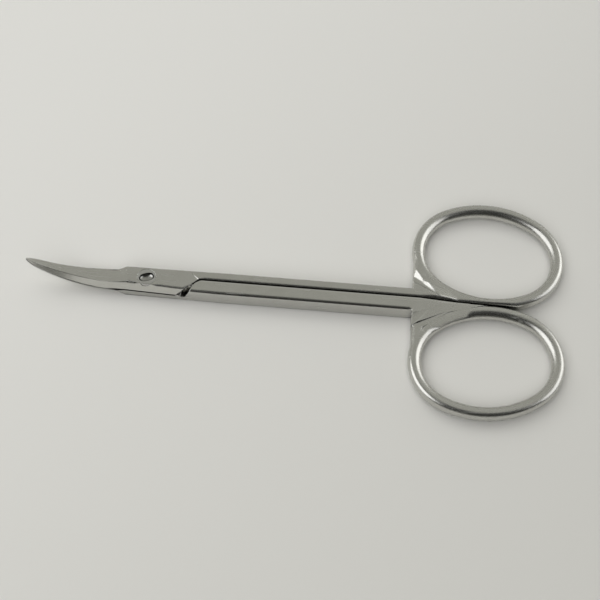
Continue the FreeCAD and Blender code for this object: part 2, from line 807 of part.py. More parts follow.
    def build(self, bore):
        """Join the pieces of the forging, cut what the grinder cuts, and bore the pivot hole."""
        doc = self.doc
        slopes = fuse(doc, self.label("slopes"), self.slope_cutters())
        shank = cut(doc, self.label("shank_sloped"), self.shank(), slopes)
        handle = fuse(doc, self.label("handle"), [shank, self.web(), self.neck()])
        tools = fuse(doc, self.label("handle_tools"), self.valley_cutters() + [self.shoulder_cutter()])
        handle = cut(doc, self.label("handle_cut"), handle, tools)
        handle = fuse(doc, self.label("handle_ring"), [handle, self.ring()])
        split = fuse(doc, self.label("gap_tools"), self.gap_cutter())
        handle = cut(doc, self.label("handle_split"), handle, split)
        blade = cut(doc, self.label("lap_cut"), self.blade(), self.lap_end_cutter())
        whole = fuse(doc, self.label("forging"), [handle, blade])
        tools = fuse(doc, self.label("lap_tools"), [self.relief_cutter(), self.mark_cutter(), bore])
        return cut(doc, self.name, whole, tools)


def fuse(doc, name, pieces):
    joined = doc.addObject("Part::MultiFuse", name)
    joined.Shapes = pieces
    joined.Refine = True
    doc.recompute()
    return joined


def cut(doc, name, base, tool):
    left = doc.addObject("Part::Cut", name)
    left.Base = base
    left.Tool = tool
    left.Refine = True
    doc.recompute()
    if not left.Shape.Volume < base.Shape.Volume:
        raise ValueError("nothing was cut for " + name)
    return left


def screw_solid(doc, s, name, clearance, chamfer, low, high):
    """Turn the screw's outline about the pivot axis, with a clearance all round."""
    body = new_body(doc, name)
    sketch = new_sketch(body, name + "_profile", "XZ_Plane")
    head = s.head_radius + clearance
    shank = s.screw_radius + clearance
    rim = s.total_thickness - s.head_rim - clearance
    draw_polygon(sketch, (
        (ZERO, low),
        (shank - chamfer, low),
        (shank, low + chamfer),
        (shank, rim - s.head_cone),
        (head, rim),
        (head, high),
        (ZERO, high),
    ) if chamfer.value else (
        (ZERO, low),
        (shank, low),
        (shank, rim - s.head_cone),
        (head, rim),
        (head, high),
        (ZERO, high),
    ))
    revolution = body.newObject("PartDesign::Revolution", name + "_turned")
    revolution.Profile = sketch
    revolution.ReferenceAxis = (sketch, ["V_Axis"])
    revolution.Angle = 360
    doc.recompute()
    return body


def pivot_screw(doc, s):
    """The countersunk screw, with the boat-shaped slot that a round-nosed disc cuts."""
    body = screw_solid(doc, s, "screw_blank", ZERO, s.screw_end_chamfer, ZERO, s.total_thickness)
    disc = doc.addObject("Part::Torus", "slot_cutter")
    bind(disc, "Radius1", s.slot_cutter_radius - s.slot_nose)
    bind(disc, "Radius2", s.slot_nose)
    angle = math.radians(SLOT_ANGLE)
    axis = Vector(-math.sin(angle), math.cos(angle), 0)
    height = s.total_thickness + s.slot_cutter_radius - s.slot_depth
    place(disc, ZERO, ZERO, height, Rotation(Vector(0, 0, 1), axis))
    return cut(doc, "pivot_screw", body, disc)


def running_bore(doc, s):
    """What the upper half loses round the screw: its outline and the running clearance."""
    return screw_solid(doc, s, "running_bore", s.screw_clearance, ZERO, ZERO, s.total_thickness + s.overrun)


def tapped_hole(doc, s):
    """The hole in the lower half, at the size of the screw that it holds."""
    hole = doc.addObject("Part::Cylinder", "tapped_hole")
    bind(hole, "Radius", s.screw_radius)
    bind(hole, "Height", s.total_thickness + s.overrun * 2)
    place(hole, ZERO, ZERO, -s.overrun)
    return hole


def check(doc, nodes):
    """Stop if any object failed or any piece is not one valid solid."""
    failed = [thing.Name for thing in doc.Objects if {"Invalid", "Error"} & set(thing.State)]
    if failed:
        raise ValueError("objects that failed: " + ", ".join(failed))
    for node in nodes:
        shape = node.Shape
        if shape.isNull() or not shape.isValid():
            raise ValueError("not a valid shape: " + node.Label)
        if len(shape.Solids) != 1:
            raise ValueError("%s has %d solids" % (node.Label, len(shape.Solids)))


def main():
    doc = FreeCAD.newDocument(DOCUMENT_NAME)
    sizes = Sizes(doc)
    upper = Half(doc, sizes, UPPER, "upper_half").build(running_bore(doc, sizes))
    lower = Half(doc, sizes, LOWER, "lower_half").build(tapped_hole(doc, sizes))
    nodes = [upper, lower, pivot_screw(doc, sizes)]
    doc.recompute()
    check(doc, nodes)
    os.makedirs(PARTS_FOLDER, exist_ok=True)
    for node in nodes:
        node.Shape.exportStep(os.path.join(PARTS_FOLDER, node.Label + ".step"))
        print("%s: %.2f mm3, box %s" % (node.Label, node.Shape.Volume, node.Shape.BoundBox))


main()
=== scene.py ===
"""Curved cuticle scissors in buffed stainless steel, lying closed on a pale table."""

import logging
import math
from dataclasses import dataclass, field
from enum import Enum
from typing import Optional, Union

import bmesh
import bpy
from mathutils import Matrix, Vector
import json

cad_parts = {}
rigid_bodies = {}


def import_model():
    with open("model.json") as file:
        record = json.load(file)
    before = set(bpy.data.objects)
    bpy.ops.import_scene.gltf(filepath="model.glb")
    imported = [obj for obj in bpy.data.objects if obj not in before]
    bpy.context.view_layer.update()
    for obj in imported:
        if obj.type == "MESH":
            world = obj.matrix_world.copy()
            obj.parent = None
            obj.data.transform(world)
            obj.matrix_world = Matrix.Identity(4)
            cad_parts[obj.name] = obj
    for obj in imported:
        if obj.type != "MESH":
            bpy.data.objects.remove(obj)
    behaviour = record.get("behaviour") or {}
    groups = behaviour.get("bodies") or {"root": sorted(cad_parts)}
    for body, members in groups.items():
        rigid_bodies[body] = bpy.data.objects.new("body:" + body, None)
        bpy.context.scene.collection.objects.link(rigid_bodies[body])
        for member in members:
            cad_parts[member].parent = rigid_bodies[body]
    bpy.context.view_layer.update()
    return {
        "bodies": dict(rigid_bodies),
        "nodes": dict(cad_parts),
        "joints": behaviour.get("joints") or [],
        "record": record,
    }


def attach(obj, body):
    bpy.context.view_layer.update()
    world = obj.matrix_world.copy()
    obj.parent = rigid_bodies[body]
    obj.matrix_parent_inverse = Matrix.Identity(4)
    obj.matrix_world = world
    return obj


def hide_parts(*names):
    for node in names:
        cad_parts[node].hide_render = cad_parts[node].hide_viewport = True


LOG = logging.getLogger("cuticle_scissors")

# One millimetre in Blender's metres; sizes are given in millimetres unless they say otherwise
MM = 0.001
QUARTER_TURN = math.pi / 2

# The sRGB curve: a straight run near black, then a power
HEX_FULL = 255
STRAIGHT_END = 0.04045
STRAIGHT_SLOPE = 12.92
CURVE_OFFSET = 0.055
CURVE_POWER = 2.4

# Radians that Blender's wave texture runs through in one unit of length at a scale of 1
WAVE_RATE = 20

# A Mix node's inputs A and B and its result, by number, for vectors and for colours
VECTOR_A, VECTOR_B, VECTOR_OUT = 4, 5, 1
COLOUR_A, COLOUR_B, COLOUR_OUT = 6, 7, 2

Tree = bpy.types.NodeTree
Node = bpy.types.Node
Socket = bpy.types.NodeSocket
# A node's input is told by its name or its number
Key = Union[str, int]


class Side(Enum):
    """The two forged halves, with the way that each one's ring lies from the pivot."""

    UPPER = 1.0
    LOWER = -1.0


class Body(Enum):
    """The two bodies that turn on each other."""

    UPPER = "upper"
    LOWER = "lower"


class Face(Enum):
    """The two broad faces of a forging, with the way that each one looks."""

    FRONT = 1.0
    BACK = -1.0


def linear(code: str) -> tuple[float, float, float, float]:
    """Turn an sRGB hex colour into linear RGBA.

    Args:
        code: six hex digits after a hash sign.

    Returns:
        The colour as Blender's sockets take it, with alpha 1.
    """
    values = [int(code[i:i + 2], 16) / HEX_FULL for i in (1, 3, 5)]
    rgb = [value / STRAIGHT_SLOPE if value <= STRAIGHT_END
           else ((value + CURVE_OFFSET) / (1 + CURVE_OFFSET)) ** CURVE_POWER for value in values]
    return (*rgb, 1.0)


def add_node(tree: Tree, kind: str, links: Optional[dict[Key, Socket]] = None,
             values: Optional[dict[Key, object]] = None, **settings: object) -> Node:
    """Add one node with its settings, socket values and links.

    Args:
        tree: the node tree that it goes in.
        kind: the node's type name.
        links: input name or number to the output socket that feeds it.
        values: input name or number to its value.
        settings: attributes to set on the node.

    Returns:
        The new node.
    """
    node = tree.nodes.new(kind)
    for name, value in settings.items():
        setattr(node, name, value)
    for key, value in (values or {}).items():
        node.inputs[key].default_value = value
    for key, socket in (links or {}).items():
        tree.links.new(socket, node.inputs[key])
    return node


def blank_material(name: str) -> tuple[bpy.types.Material, Tree, Node]:
    """Make a material that holds a Principled BSDF and its output.

    Args:
        name: the material's name.

    Returns:
        The material, its node tree and its shader node.
    """
    material = bpy.data.materials.new(name)
    material.use_nodes = True
    tree = material.node_tree
    tree.nodes.clear()
    shader = add_node(tree, "ShaderNodeBsdfPrincipled")
    add_node(tree, "ShaderNodeOutputMaterial", {"Surface": shader.outputs["BSDF"]})
    return material, tree, shader


def millimetres(tree: Tree) -> Socket:
    """Add the object coordinates in millimetres.

    Args:
        tree: the material's node tree.

    Returns:
        The vector socket that gives them.
    """
    place = add_node(tree, "ShaderNodeTexCoord")
    scaled = add_node(tree, "ShaderNodeVectorMath", {0: place.outputs["Object"]}, {"Scale": 1 / MM},
                      operation="SCALE")
    return scaled.outputs["Vector"]


def normal_rise(tree: Tree) -> Socket:
    """Add how far the surface's own normal rises, from -1 for straight down to 1 for straight up.

    Args:
        tree: the material's node tree.

    Returns:
        The socket that gives it.
    """
    surface = add_node(tree, "ShaderNodeNewGeometry")
    normal = add_node(tree, "ShaderNodeSeparateXYZ", {0: surface.outputs["True Normal"]})
    return normal.outputs["Z"]


@dataclass(frozen=True)
class BuffedZone:
    """A stretch of a forging where the wheel has leaned the slopes of one face towards its flat."""

    # Along the scissors from start to end and outwards to reach, fading over run; in millimetres
    start: float
    end: float
    run: float
    reach: float
    face: Face
    # Slopes are told by how far their normal rises: none below the first, all above the second
    rises: tuple[float, float]
    # How far the slopes lean, from not at all to level
    share: float


@dataclass(frozen=True)
class BuffedStainless:
    """Forged stainless steel, buffed on a soft wheel along the shanks and round the rings.

    The eye sees a grey mirror with soft-edged highlights, fine buffing lines that follow the piece,
    a faint cloudiness where the wheel bore harder, a few hairline scratches, and edges that the wheel
    has rounded, with a painted highlight along them. Painted shade darkens its crevices and the seam
    where the two laps meet.
    """

    name: str
    side: Side
    colour: str = "#cdcdc9"
    cloud_colour: str = "#c1c0bb"
    # Painted highlight along the rounded edges
    edge_highlight_colour: str = "#d7d7d4"
    # Painted shadow in the seam between the laps
    seam_shadow_colour: str = "#1d1d1b"
    roughness: float = 0.17
    ring_roughness: float = 0.045
    cloud_roughness: float = 0.05
    line_roughness: float = 0.06
    scratch_roughness: float = 0.12
    # Buffing lines are drawn 0.16 mm apart, coarser than the real 0.02 mm, so that they show
    line_pitch: float = 0.16
    line_length: float = 7.0
    line_depth: float = 0.0016
    line_detail: float = 2.0
    line_breakup: float = 0.6
    cloud_size: float = 2.6
    cloud_detail: float = 3.0
    cloud_breakup: float = 0.55
    scratch_pitch: float = 0.3
    scratch_length: float = 5.0
    scratch_turn: float = 31.0
    # Noise values between which a scratch comes in; few points reach them
    scratch_band: tuple[float, float] = (0.74, 0.8)
    edge_radius: float = 0.6
    ring_edge_radius: float = 0.7
    edge_samples: int = 16
    # How far the rounded normal and the unrounded one still agree where the painted edge highlight is full
    edge_agreement: float = 0.9
    # The blades' edges were honed, so the wheel hardly rounded them
    honed_edge_share: float = 0.23
    honed_end: float = -6.5
    honed_run: float = 3.5
    # Around the screw and the punched mark the edges were left crisp
    crisp_edge_share: float = 0.13
    crisp_places: tuple[tuple[float, float], ...] = ((0.0, 0.0), (7.2, 1.0))
    crisp_radius: float = 1.7
    crisp_run: float = 0.6
    # Painted shade in the crevices, which comes in as less of the open air is seen
    crevice_shade_colour: str = "#262624"
    crevice_reach: float = 0.9
    crevice_samples: int = 8
    crevice_band: tuple[float, float] = (0.75, 0.3)
    # The ring's middle and how much longer it is than broad, which the buffing lines go round
    ring_place: float = 56.37
    ring_across: float = 9.95
    ring_oval: float = 1.27
    neck_start: float = 43.6
    neck_end: float = 47.5
    # Inner faces, ground flat on a coarser belt: up to the end, where the normal rises past the slope
    ground_roughness: float = 0.26
    ground_slope: float = 0.5
    ground_end: float = 5.6
    # A painted shadow in the seam where the two laps meet
    seam_height: float = 1.7
    seam_width: float = 0.5
    seam_start: float = -7.0
    seam_full: float = -4.5
    seam_end: float = 5.3
    # The edges on the shank's back, the back of the neck, and the step where the blade starts
    zones: tuple[BuffedZone, ...] = (
        BuffedZone(start=6.8, end=43.5, run=0.5, reach=6.0, face=Face.BACK, rises=(0.02, 0.25), share=0.45),
        BuffedZone(start=42.8, end=54.0, run=1.2, reach=5.4, face=Face.BACK, rises=(0.35, 0.65), share=0.88),
        BuffedZone(start=-6.4, end=-2.6, run=0.8, reach=4.0, face=Face.FRONT, rises=(0.6, 0.75), share=0.7),
    )

    def material(self) -> bpy.types.Material:
        """Build the steel's material.

        Returns:
            The material, which reads object coordinates in millimetres.
        """
        material, tree, shader = blank_material(self.name)
        place = millimetres(tree)
        split = add_node(tree, "ShaderNodeSeparateXYZ", {0: place})
        on_ring = add_node(tree, "ShaderNodeMapRange", {"Value": split.outputs["X"]},
                           {"From Min": self.neck_start, "From Max": self.neck_end},
                           interpolation_type="SMOOTHSTEP").outputs["Result"]
        lines = self.buffing_lines(tree, place, split, on_ring)
        clouds = add_node(tree, "ShaderNodeTexNoise", {"Vector": place},
                          {"Scale": 1 / self.cloud_size, "Detail": self.cloud_detail,
                           "Roughness": self.cloud_breakup}).outputs["Fac"]
        scratches = self.scratches(tree, place)
        edges, rounded = self.rounded_edges(tree, place, split.outputs["X"], on_ring)
        for zone in self.zones:
            rounded = self.flattened(tree, split, zone, rounded)
        ground = self.ground_faces(tree, split)
        self.colour_from(tree, shader, clouds, edges, self.seam(tree, split))
        self.roughness_from(tree, shader, ground, {lines: self.line_roughness, clouds: self.cloud_roughness,
                                                   scratches: self.scratch_roughness,
                                                   on_ring: self.ring_roughness})
        relief = add_node(tree, "ShaderNodeMath", {0: lines, 1: scratches}, operation="SUBTRACT")
        bump = add_node(tree, "ShaderNodeBump", {"Height": relief.outputs[0], "Normal": rounded},
                        {"Strength": 1.0, "Distance": self.line_depth * MM})
        tree.links.new(bump.outputs["Normal"], shader.inputs["Normal"])
        shader.inputs["Metallic"].default_value = 1.0
        return material

    def buffing_lines(self, tree: Tree, place: Socket, split: Node, on_ring: Socket) -> Socket:
        """Add the fine lines, straight along the shank and curved round the ring.

        Args:
            tree: the material's node tree.
            place: the point in millimetres.
            split: the node that splits that point.
            on_ring: 0 on the shank, 1 on the ring.

        Returns:
            The lines' height, 0 to 1.
        """
        along = 1 / self.line_length
        across = 1 / self.line_pitch
        straight = add_node(tree, "ShaderNodeVectorMath", {0: place}, {1: (along, across, across)},
                            operation="MULTIPLY")
        centre = (self.ring_place, self.side.value * self.ring_across, 0.0)
        offset = add_node(tree, "ShaderNodeVectorMath", {0: place}, {1: centre}, operation="SUBTRACT")
        flat = add_node(tree, "ShaderNodeVectorMath", {0: offset.outputs[0]},
                        {1: (1.0, self.ring_oval, 0.0)}, operation="MULTIPLY")
        radius = add_node(tree, "ShaderNodeVectorMath", {0: flat.outputs[0]}, operation="LENGTH")
        way = add_node(tree, "ShaderNodeVectorMath", {0: flat.outputs[0]}, operation="NORMALIZE")
        height = add_node(tree, "ShaderNodeMath", {0: split.outputs["Z"]}, {1: across}, operation="MULTIPLY")
        lift = add_node(tree, "ShaderNodeCombineXYZ", {"Z": height.outputs[0]})
        turned = self.ring_oval * self.ring_across * along
        curved = add_node(tree, "ShaderNodeVectorMath", {0: way.outputs[0], 2: lift.outputs[0]},
                          {1: (turned, turned, turned)}, operation="MULTIPLY_ADD")
        depth = add_node(tree, "ShaderNodeMath", {0: radius.outputs["Value"]}, {1: across},
                         operation="MULTIPLY")
        vector = add_node(tree, "ShaderNodeMix",
                          {0: on_ring, VECTOR_A: straight.outputs[0], VECTOR_B: curved.outputs[0]},
                          data_type="VECTOR")
        fourth = add_node(tree, "ShaderNodeMath", {0: depth.outputs[0], 1: on_ring}, operation="MULTIPLY")
        noise = add_node(tree, "ShaderNodeTexNoise",
                         {"Vector": vector.outputs[VECTOR_OUT], "W": fourth.outputs[0]},
                         {"Scale": 1.0, "Detail": self.line_detail, "Roughness": self.line_breakup},
                         noise_dimensions="4D")
        return noise.outputs["Fac"]

    def scratches(self, tree: Tree, place: Socket) -> Socket:
        """Add sparse hairline scratches, askew to the buffing lines.

        Args:
            tree: the material's node tree.
            place: the point in millimetres.

        Returns:
            1 in a scratch, 0 elsewhere.
        """
        scale = (1 / self.scratch_length, 1 / self.scratch_pitch, 1 / self.scratch_pitch)
        turned = add_node(tree, "ShaderNodeMapping", {"Vector": place},
                          {"Rotation": (0.0, 0.0, math.radians(self.scratch_turn)), "Scale": scale},
                          vector_type="POINT")
        noise = add_node(tree, "ShaderNodeTexNoise", {"Vector": turned.outputs["Vector"]},
                         {"Scale": 1.0, "Detail": 0.0})
        band = add_node(tree, "ShaderNodeMapRange", {"Value": noise.outputs["Fac"]},
                        {"From Min": self.scratch_band[0], "From Max": self.scratch_band[1]})
        return band.outputs["Result"]

    def rounded_edges(self, tree: Tree, place: Socket, along: Socket,
                      on_ring: Socket) -> tuple[Socket, Socket]:
        """Add the edges that the wheel has rounded, less on the blades and round the screw and the mark.

        Args:
            tree: the material's node tree.
            place: the point in millimetres.
            along: the point's place along the scissors in millimetres.
            on_ring: 0 on the shank, 1 on the ring.

        Returns:
            How near an edge the point is, 0 to 1, which sets the painted edge highlight, and the rounded
            normal.
        """
        width = add_node(tree, "ShaderNodeMapRange", {"Value": on_ring},
                         {"To Min": self.edge_radius * MM, "To Max": self.ring_edge_radius * MM}
                         ).outputs["Result"]
        honed = add_node(tree, "ShaderNodeMapRange", {"Value": along},
                         {"From Min": self.honed_end, "From Max": self.honed_end + self.honed_run,
                          "To Min": self.honed_edge_share})
        width = add_node(tree, "ShaderNodeMath", {0: width, 1: honed.outputs["Result"]},
                         operation="MULTIPLY").outputs[0]
        flat = add_node(tree, "ShaderNodeVectorMath", {0: place}, {1: (1.0, 1.0, 0.0)},
                        operation="MULTIPLY")
        for x, y in self.crisp_places:
            away = add_node(tree, "ShaderNodeVectorMath", {0: flat.outputs[0]},
                            {1: (x, self.side.value * y, 0.0)}, operation="DISTANCE")
            share = add_node(tree, "ShaderNodeMapRange", {"Value": away.outputs["Value"]},
                             {"From Min": self.crisp_radius, "From Max": self.crisp_radius + self.crisp_run,
                              "To Min": self.crisp_edge_share})
            width = add_node(tree, "ShaderNodeMath", {0: width, 1: share.outputs["Result"]},
                             operation="MULTIPLY").outputs[0]
        bevel = add_node(tree, "ShaderNodeBevel", {"Radius": width}, samples=self.edge_samples)
        surface = add_node(tree, "ShaderNodeNewGeometry")
        agreement = add_node(tree, "ShaderNodeVectorMath",
                             {0: bevel.outputs["Normal"], 1: surface.outputs["Normal"]},
                             operation="DOT_PRODUCT")
        near = add_node(tree, "ShaderNodeMapRange", {"Value": agreement.outputs["Value"]},
                        {"From Min": 1.0, "From Max": self.edge_agreement})
        return near.outputs["Result"], bevel.outputs["Normal"]

    def ground_faces(self, tree: Tree, split: Node) -> Socket:
        """Add the mask of the inner faces, which slide on the other half.

        Args:
            tree: the material's node tree.
            split: the node that splits the point in millimetres.

        Returns:
            1 on the inner faces of the blade and the lap, 0 elsewhere.
        """
        inward = add_node(tree, "ShaderNodeMath", {0: normal_rise(tree)}, {1: -self.side.value},
                          operation="MULTIPLY")
        facing = add_node(tree, "ShaderNodeMath", {0: inward.outputs[0]}, {1: self.ground_slope},
                          operation="GREATER_THAN")
        before = add_node(tree, "ShaderNodeMath", {0: split.outputs["X"]}, {1: self.ground_end},
                          operation="LESS_THAN")
        both = add_node(tree, "ShaderNodeMath", {0: facing.outputs[0], 1: before.outputs[0]},
                        operation="MULTIPLY")
        return both.outputs[0]

    def flattened(self, tree: Tree, split: Node, zone: BuffedZone, before: Socket) -> Socket:
        """Lean the normals of one zone's slopes towards upright.

        Args:
            tree: the material's node tree.
            split: the node that splits the point in millimetres.
            zone: the zone.
            before: the normal so far.

        Returns:
            The normal with the zone's slopes leaned.
        """
        way = self.side.value * zone.face.value
        facing = add_node(tree, "ShaderNodeMath", {0: normal_rise(tree)}, {1: way}, operation="MULTIPLY")
        outward = add_node(tree, "ShaderNodeMath", {0: split.outputs["Y"]}, {1: self.side.value},
                           operation="MULTIPLY")
        mask = add_node(tree, "ShaderNodeMapRange", {"Value": facing.outputs[0]},
                        {"From Min": zone.rises[0], "From Max": zone.rises[1], "To Max": zone.share}
                        ).outputs["Result"]
        for place, start, end in ((split.outputs["X"], zone.start, zone.start + zone.run),
                                  (split.outputs["X"], zone.end, zone.end - zone.run),
                                  (outward.outputs[0], zone.reach, zone.reach - zone.run)):
            share = add_node(tree, "ShaderNodeMapRange", {"Value": place},
                             {"From Min": start, "From Max": end}, interpolation_type="SMOOTHSTEP")
            mask = add_node(tree, "ShaderNodeMath", {0: mask, 1: share.outputs["Result"]},
                            operation="MULTIPLY").outputs[0]
        mixed = add_node(tree, "ShaderNodeMix", {0: mask, VECTOR_A: before}, {VECTOR_B: (0.0, 0.0, way)},
                         data_type="VECTOR")
        return mixed.outputs[VECTOR_OUT]

    def seam(self, tree: Tree, split: Node) -> Socket:
        """Add the painted shadow line where the two laps meet, fading out along the blades.

        Args:
            tree: the material's node tree.
            split: the node that splits the point in millimetres.

        Returns:
            1 in the seam, 0 elsewhere.
        """
        height = add_node(tree, "ShaderNodeMath", {0: split.outputs["Z"]},
                          {1: self.seam_height, 2: self.seam_width / 2}, operation="COMPARE")
        fade = add_node(tree, "ShaderNodeMapRange", {"Value": split.outputs["X"]},
                        {"From Min": self.seam_start, "From Max": self.seam_full},
                        interpolation_type="SMOOTHSTEP")
        before = add_node(tree, "ShaderNodeMath", {0: split.outputs["X"]}, {1: self.seam_end},
                          operation="LESS_THAN")
        along = add_node(tree, "ShaderNodeMath", {0: fade.outputs["Result"], 1: before.outputs[0]},
                         operation="MULTIPLY")
        both = add_node(tree, "ShaderNodeMath", {0: along.outputs[0], 1: height.outputs[0]},
                        operation="MULTIPLY")
        return both.outputs[0]

    def colour_from(self, tree: Tree, shader: Node, clouds: Socket, edges: Socket, seam: Socket) -> None:
        """Mix the steel's colour from its clouds, a painted highlight on its edges, painted shade in its
        crevices and a painted shadow in its seam.

        Args:
            tree: the material's node tree.
            shader: the node that takes the colour.
            clouds: the cloudiness, 0 to 1.
            edges: how near an edge the point is, 0 to 1, which sets the painted highlight.
            seam: 1 in the painted seam shadow, 0 elsewhere.
        """
        body = add_node(tree, "ShaderNodeMix", {0: clouds},
                        {COLOUR_A: linear(self.colour), COLOUR_B: linear(self.cloud_colour)},
                        data_type="RGBA")
        # Painted highlight: a lighter colour near the rounded edges
        edge_highlighted = add_node(tree, "ShaderNodeMix", {0: edges, COLOUR_A: body.outputs[COLOUR_OUT]},
                        {COLOUR_B: linear(self.edge_highlight_colour)}, data_type="RGBA")
        # Painted shade: darker where less of the open air is seen
        open_air = add_node(tree, "ShaderNodeAmbientOcclusion", values={"Distance": self.crevice_reach * MM},
                            samples=self.crevice_samples)
        crevice = add_node(tree, "ShaderNodeMapRange", {"Value": open_air.outputs["AO"]},
                           {"From Min": self.crevice_band[0], "From Max": self.crevice_band[1]})
        crevice_shaded = add_node(tree, "ShaderNodeMix",
                          {0: crevice.outputs["Result"], COLOUR_A: edge_highlighted.outputs[COLOUR_OUT]},
                          {COLOUR_B: linear(self.crevice_shade_colour)}, data_type="RGBA")
        # Painted shadow along the seam
        seam_shaded = add_node(tree, "ShaderNodeMix", {0: seam, COLOUR_A: crevice_shaded.outputs[COLOUR_OUT]},
                          {COLOUR_B: linear(self.seam_shadow_colour)}, data_type="RGBA")
        tree.links.new(seam_shaded.outputs[COLOUR_OUT], shader.inputs["Base Color"])

    def roughness_from(self, tree: Tree, shader: Node, ground: Socket,
                       masks: dict[Socket, float]) -> None:
        """Add up the roughness of the ground faces and of everything that lies over them.

        Args:
            tree: the material's node tree.
            shader: the node that takes the roughness.
            ground: 1 on the inner faces.
            masks: each mask with the roughness that it adds where it is 1.
        """
        base = add_node(tree, "ShaderNodeMapRange", {"Value": ground},
                        {"To Min": self.roughness, "To Max": self.ground_roughness}).outputs["Result"]
        for mask, share in masks.items():
            base = add_node(tree, "ShaderNodeMath", {0: mask, 2: base}, {1: share},
                            operation="MULTIPLY_ADD").outputs[0]
        tree.links.new(base, shader.inputs["Roughness"])


@dataclass(frozen=True)
class TurnedStainless:
    """Stainless bar turned on a lathe, then ground flush with the lap.

    The eye sees faint rings round the axis on the head and a duller slot, with painted shade darkening the
    slot and its walls.
    """

    name: str = "turned_stainless_steel"
    colour: str = "#c9c9c7"
    # Painted shade deep in the slot
    slot_shade_colour: str = "#a9a9a6"
    wall_shade_colour: str = "#2b2b29"
    roughness: float = 0.19
    slot_roughness: float = 0.2
    # Turning rings are drawn 0.12 mm apart, coarser than the real feed, so that they show close up
    ring_pitch: float = 0.12
    ring_depth: float = 0.004
    ring_waver: float = 0.4
    ring_detail: float = 2.0
    edge_radius: float = 0.02
    edge_samples: int = 8
    face_height: float = 3.4
    slot_depth: float = 0.55
    # Painted shade on the slot's walls, from the start under the face down to full, then thinning out to end
    wall_shade_start: float = 0.01
    wall_shade_full: float = 0.17
    wall_shade_end: float = 0.3
    # The head's ground side, nearer than this, gets no painted shade
    wall_shade_near: float = -1.1
    # The slot's floor is worn level by screwdrivers; normals that rise less than the slope are its walls
    floor_slope: float = 0.7
    floor_share: float = 0.8

    def material(self) -> bpy.types.Material:
        """Build the screw's material.

        Returns:
            The material, centred on the pivot axis.
        """
        material, tree, shader = blank_material(self.name)
        place = millimetres(tree)
        split = add_node(tree, "ShaderNodeSeparateXYZ", {0: place})
        rings = add_node(tree, "ShaderNodeTexWave", {"Vector": place},
                         {"Scale": math.tau / (WAVE_RATE * self.ring_pitch),
                          "Distortion": self.ring_waver, "Detail": self.ring_detail},
                         wave_type="RINGS", rings_direction="Z")
        deep = add_node(tree, "ShaderNodeMapRange", {"Value": split.outputs["Z"]},
                        {"From Min": self.face_height, "From Max": self.face_height - self.slot_depth}
                        ).outputs["Result"]
        under = add_node(tree, "ShaderNodeMath", {0: split.outputs["Z"]},
                         {1: self.face_height - self.wall_shade_start}, operation="LESS_THAN")
        thin = add_node(tree, "ShaderNodeMapRange", {"Value": split.outputs["Z"]},
                        {"From Min": self.face_height - self.wall_shade_end,
                         "From Max": self.face_height - self.wall_shade_full})
        inside = add_node(tree, "ShaderNodeMath", {0: split.outputs["Y"]}, {1: self.wall_shade_near},
                          operation="GREATER_THAN")
        walls = add_node(tree, "ShaderNodeMath", {0: under.outputs[0], 1: inside.outputs[0]},
                         operation="MULTIPLY")
        wall_shade = add_node(tree, "ShaderNodeMath", {0: walls.outputs[0], 1: thin.outputs["Result"]},
                         operation="MULTIPLY")
        # Painted shade: darker the deeper into the slot
        slot_shaded = add_node(tree, "ShaderNodeMix", {0: deep},
                         {COLOUR_A: linear(self.colour), COLOUR_B: linear(self.slot_shade_colour)},
                         data_type="RGBA")
        # Painted shade on the slot's walls
        colour = add_node(tree, "ShaderNodeMix", {0: wall_shade.outputs[0], COLOUR_A: slot_shaded.outputs[COLOUR_OUT]},
                          {COLOUR_B: linear(self.wall_shade_colour)}, data_type="RGBA")
        rough = add_node(tree, "ShaderNodeMapRange", {"Value": deep},
                         {"To Min": self.roughness, "To Max": self.slot_roughness})
        bevel = add_node(tree, "ShaderNodeBevel", values={"Radius": self.edge_radius * MM},
                         samples=self.edge_samples)
        floor = add_node(tree, "ShaderNodeMapRange", {"Value": normal_rise(tree)},
                         {"From Min": self.floor_slope, "From Max": 1.0, "To Max": self.floor_share})
        level = add_node(tree, "ShaderNodeMix",
                         {0: floor.outputs["Result"], VECTOR_A: bevel.outputs["Normal"]},
                         {VECTOR_B: (0.0, 0.0, 1.0)}, data_type="VECTOR")
        bump = add_node(tree, "ShaderNodeBump",
                        {"Height": rings.outputs["Fac"], "Normal": level.outputs[VECTOR_OUT]},
                        {"Strength": 1.0, "Distance": self.ring_depth * MM})
        tree.links.new(colour.outputs[COLOUR_OUT], shader.inputs["Base Color"])
        tree.links.new(rough.outputs["Result"], shader.inputs["Roughness"])
        tree.links.new(bump.outputs["Normal"], shader.inputs["Normal"])
        shader.inputs["Metallic"].default_value = 1.0
        return material


